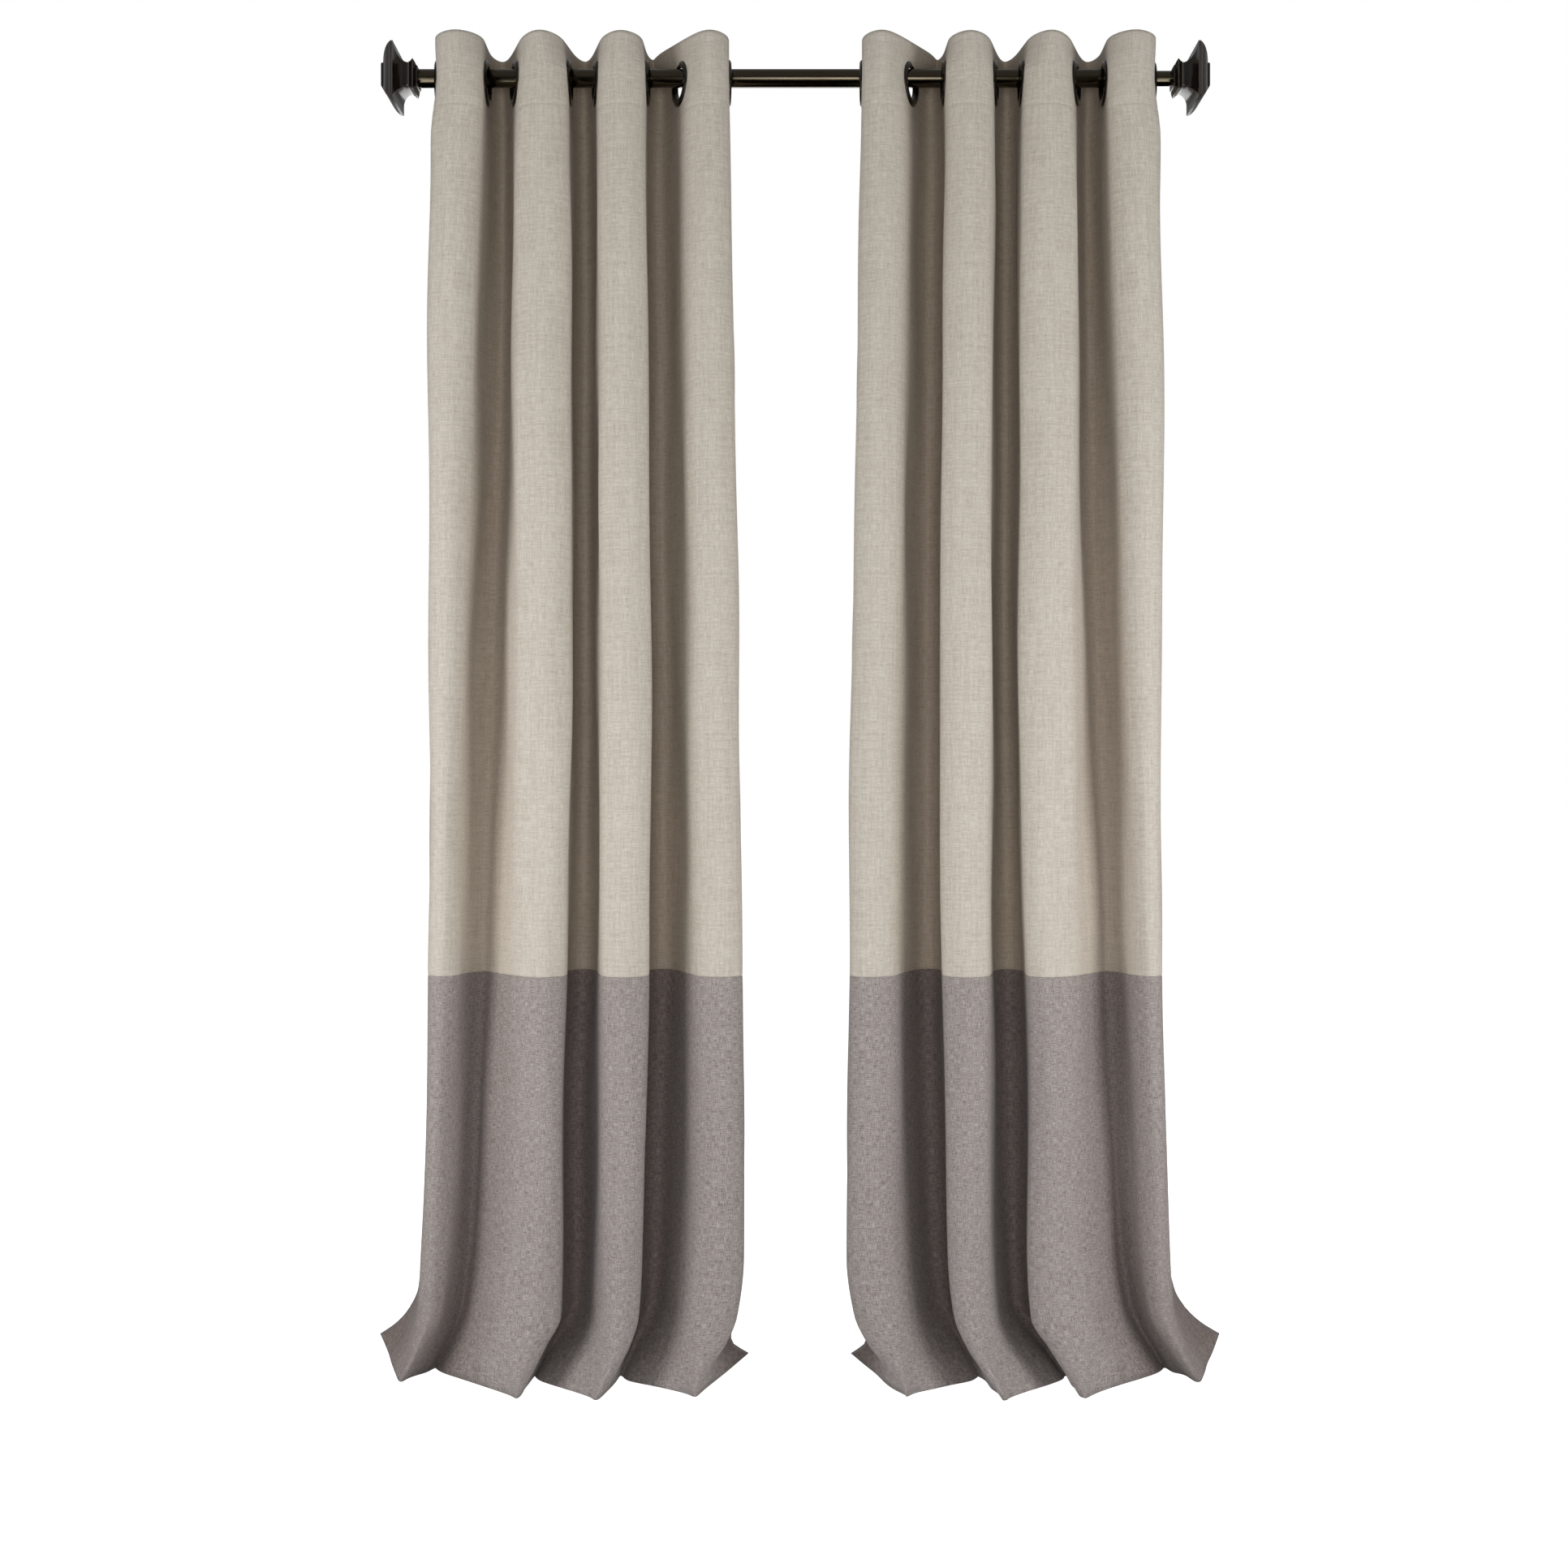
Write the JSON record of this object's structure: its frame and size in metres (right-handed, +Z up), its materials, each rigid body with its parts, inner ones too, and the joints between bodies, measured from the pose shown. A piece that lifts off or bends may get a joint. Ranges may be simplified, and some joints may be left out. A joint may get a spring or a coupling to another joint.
{
  "type": "window curtains on a rod",
  "caption": "Pair of colour-block eyelet curtain panels hung in soft folds on a dark bronze telescoping rod with square finials and wall brackets.",
  "frame": {"origin": "centre of the left wall plate's back face, level with the rod's axis", "axes": "+X along the rod to the right seen from the room, +Y into the wall, +Z up"},
  "size_m": [1.3516, 0.2378, 2.1045],
  "materials": {
    "rod_bronze": "dark oil-rubbed bronze coating, glossy",
    "finial_bronze": "very dark bronze lacquer, glossy, lighter where edges are rubbed",
    "bracket_bronze": "dark bronze powder coat, satin",
    "grommet_bronze": "dark bronze plated plastic, glossy",
    "fastener_steel": "bright zinc plated, threaded",
    "guide_plastic": "black moulded nylon",
    "natural_cloth": "linen-look weave, heathered natural, slight satin shade",
    "taupe_cloth": "linen-look weave, heathered taupe grey"
  },
  "bodies": {
    "rod_and_brackets": {"rod_outer_tube": "rod_bronze", "rod_left_end_plug": "fastener_steel", "bracket_left_wall_plate": "bracket_bronze", "bracket_left_arm": "bracket_bronze", "bracket_left_cradle": "bracket_bronze", "bracket_left_wall_screw_top": "fastener_steel", "bracket_left_wall_screw_bottom": "fastener_steel", "bracket_right_wall_plate": "bracket_bronze", "bracket_right_arm": "bracket_bronze", "bracket_right_cradle": "bracket_bronze", "bracket_right_wall_screw_top": "fastener_steel", "bracket_right_wall_screw_bottom": "fastener_steel"},
    "inner_rod": {"rod_inner_tube": "rod_bronze", "rod_inner_tube_guide_plug": "guide_plastic", "rod_right_end_plug": "fastener_steel"},
    "finial_left": {"finial_left_head": "finial_bronze", "finial_left_collar": "finial_bronze", "finial_left_stud": "fastener_steel"},
    "finial_right": {"finial_right_head": "finial_bronze", "finial_right_collar": "finial_bronze", "finial_right_stud": "fastener_steel"},
    "thumb_screw_left": {"bracket_left_thumb_screw": "bracket_bronze"},
    "thumb_screw_right": {"bracket_right_thumb_screw": "bracket_bronze"},
    "left_leading_grommet_and_panel": {"grommet_left_8_front_ring": "grommet_bronze", "grommet_left_8_back_ring": "grommet_bronze", "panel_left_upper_cloth": "natural_cloth", "panel_left_lower_band": "taupe_cloth"},
    "left_grommet_1": {"grommet_left_1_front_ring": "grommet_bronze", "grommet_left_1_back_ring": "grommet_bronze"},
    "left_grommet_2": {"grommet_left_2_front_ring": "grommet_bronze", "grommet_left_2_back_ring": "grommet_bronze"},
    "left_grommet_3": {"grommet_left_3_front_ring": "grommet_bronze", "grommet_left_3_back_ring": "grommet_bronze"},
    "left_grommet_4": {"grommet_left_4_front_ring": "grommet_bronze", "grommet_left_4_back_ring": "grommet_bronze"},
    "left_grommet_5": {"grommet_left_5_front_ring": "grommet_bronze", "grommet_left_5_back_ring": "grommet_bronze"},
    "left_grommet_6": {"grommet_left_6_front_ring": "grommet_bronze", "grommet_left_6_back_ring": "grommet_bronze"},
    "left_grommet_7": {"grommet_left_7_front_ring": "grommet_bronze", "grommet_left_7_back_ring": "grommet_bronze"},
    "right_leading_grommet_and_panel": {"grommet_right_8_front_ring": "grommet_bronze", "grommet_right_8_back_ring": "grommet_bronze", "panel_right_upper_cloth": "natural_cloth", "panel_right_lower_band": "taupe_cloth"},
    "right_grommet_1": {"grommet_right_1_front_ring": "grommet_bronze", "grommet_right_1_back_ring": "grommet_bronze"},
    "right_grommet_2": {"grommet_right_2_front_ring": "grommet_bronze", "grommet_right_2_back_ring": "grommet_bronze"},
    "right_grommet_3": {"grommet_right_3_front_ring": "grommet_bronze", "grommet_right_3_back_ring": "grommet_bronze"},
    "right_grommet_4": {"grommet_right_4_front_ring": "grommet_bronze", "grommet_right_4_back_ring": "grommet_bronze"},
    "right_grommet_5": {"grommet_right_5_front_ring": "grommet_bronze", "grommet_right_5_back_ring": "grommet_bronze"},
    "right_grommet_6": {"grommet_right_6_front_ring": "grommet_bronze", "grommet_right_6_back_ring": "grommet_bronze"},
    "right_grommet_7": {"grommet_right_7_front_ring": "grommet_bronze", "grommet_right_7_back_ring": "grommet_bronze"}
  },
  "joints": [
    {"name": "rod_telescope", "type": "slide", "parent": "rod_and_brackets", "child": "inner_rod", "axis": [1, 0, 0], "range_m": [-0.012, 0.9]},
    {"name": "finial_left_screw", "type": "hinge", "parent": "rod_and_brackets", "child": "finial_left", "pos_m": [-0.068, -0.115, 0], "axis": [1, 0, 0], "continuous": true},
    {"name": "finial_right_screw", "type": "hinge", "parent": "inner_rod", "child": "finial_right", "pos_m": [1.118, -0.115, 0], "axis": [1, 0, 0], "continuous": true},
    {"name": "thumb_screw_left_turn", "type": "hinge", "parent": "rod_and_brackets", "child": "thumb_screw_left", "pos_m": [0, -0.115, 0], "axis": [0, 0, 1], "continuous": true},
    {"name": "thumb_screw_right_turn", "type": "hinge", "parent": "rod_and_brackets", "child": "thumb_screw_right", "pos_m": [1.05, -0.115, 0], "axis": [0, 0, 1], "continuous": true},
    {"name": "draw_left_panel", "type": "slide", "parent": "rod_and_brackets", "child": "left_leading_grommet_and_panel", "axis": [1, 0, 0], "range_m": [-0.12, 0.07], "deforming": ["panel_left_upper_cloth", "panel_left_lower_band"]},
    {"name": "slide_left_grommet_1", "type": "slide", "parent": "rod_and_brackets", "child": "left_grommet_1", "axis": [1, 0, 0], "range_m": [-0.00193, 0.00113]},
    {"name": "slide_left_grommet_2", "type": "slide", "parent": "rod_and_brackets", "child": "left_grommet_2", "axis": [1, 0, 0], "range_m": [-0.01597, 0.00932]},
    {"name": "slide_left_grommet_3", "type": "slide", "parent": "rod_and_brackets", "child": "left_grommet_3", "axis": [1, 0, 0], "range_m": [-0.02898, 0.01691]},
    {"name": "slide_left_grommet_4", "type": "slide", "parent": "rod_and_brackets", "child": "left_grommet_4", "axis": [1, 0, 0], "range_m": [-0.05855, 0.03416]},
    {"name": "slide_left_grommet_5", "type": "slide", "parent": "rod_and_brackets", "child": "left_grommet_5", "axis": [1, 0, 0], "range_m": [-0.07393, 0.04313]},
    {"name": "slide_left_grommet_6", "type": "slide", "parent": "rod_and_brackets", "child": "left_grommet_6", "axis": [1, 0, 0], "range_m": [-0.09988, 0.05826]},
    {"name": "slide_left_grommet_7", "type": "slide", "parent": "rod_and_brackets", "child": "left_grommet_7", "axis": [1, 0, 0], "range_m": [-0.11246, 0.0656]},
    {"name": "draw_right_panel", "type": "slide", "parent": "rod_and_brackets", "child": "right_leading_grommet_and_panel", "axis": [-1, 0, 0], "range_m": [-0.12, 0.07], "deforming": ["panel_right_upper_cloth", "panel_right_lower_band"]},
    {"name": "slide_right_grommet_1", "type": "slide", "parent": "rod_and_brackets", "child": "right_grommet_1", "axis": [-1, 0, 0], "range_m": [-0.00193, 0.00113]},
    {"name": "slide_right_grommet_2", "type": "slide", "parent": "rod_and_brackets", "child": "right_grommet_2", "axis": [-1, 0, 0], "range_m": [-0.01597, 0.00932]},
    {"name": "slide_right_grommet_3", "type": "slide", "parent": "rod_and_brackets", "child": "right_grommet_3", "axis": [-1, 0, 0], "range_m": [-0.02898, 0.01691]},
    {"name": "slide_right_grommet_4", "type": "slide", "parent": "rod_and_brackets", "child": "right_grommet_4", "axis": [-1, 0, 0], "range_m": [-0.05855, 0.03416]},
    {"name": "slide_right_grommet_5", "type": "slide", "parent": "rod_and_brackets", "child": "right_grommet_5", "axis": [-1, 0, 0], "range_m": [-0.07393, 0.04313]},
    {"name": "slide_right_grommet_6", "type": "slide", "parent": "rod_and_brackets", "child": "right_grommet_6", "axis": [-1, 0, 0], "range_m": [-0.09988, 0.05826]},
    {"name": "slide_right_grommet_7", "type": "slide", "parent": "rod_and_brackets", "child": "right_grommet_7", "axis": [-1, 0, 0], "range_m": [-0.11246, 0.0656]}
  ],
  "couplings": [
    {"joint": "slide_left_grommet_1", "follows": "draw_left_panel", "ratio": 0.01599},
    {"joint": "slide_left_grommet_2", "follows": "draw_left_panel", "ratio": 0.13303},
    {"joint": "slide_left_grommet_3", "follows": "draw_left_panel", "ratio": 0.24145},
    {"joint": "slide_left_grommet_4", "follows": "draw_left_panel", "ratio": 0.48786},
    {"joint": "slide_left_grommet_5", "follows": "draw_left_panel", "ratio": 0.61596},
    {"joint": "slide_left_grommet_6", "follows": "draw_left_panel", "ratio": 0.83221},
    {"joint": "slide_left_grommet_7", "follows": "draw_left_panel", "ratio": 0.93707},
    {"joint": "slide_right_grommet_1", "follows": "draw_right_panel", "ratio": 0.01599},
    {"joint": "slide_right_grommet_2", "follows": "draw_right_panel", "ratio": 0.13303},
    {"joint": "slide_right_grommet_3", "follows": "draw_right_panel", "ratio": 0.24145},
    {"joint": "slide_right_grommet_4", "follows": "draw_right_panel", "ratio": 0.48786},
    {"joint": "slide_right_grommet_5", "follows": "draw_right_panel", "ratio": 0.61596},
    {"joint": "slide_right_grommet_6", "follows": "draw_right_panel", "ratio": 0.83221},
    {"joint": "slide_right_grommet_7", "follows": "draw_right_panel", "ratio": 0.93707}
  ]
}
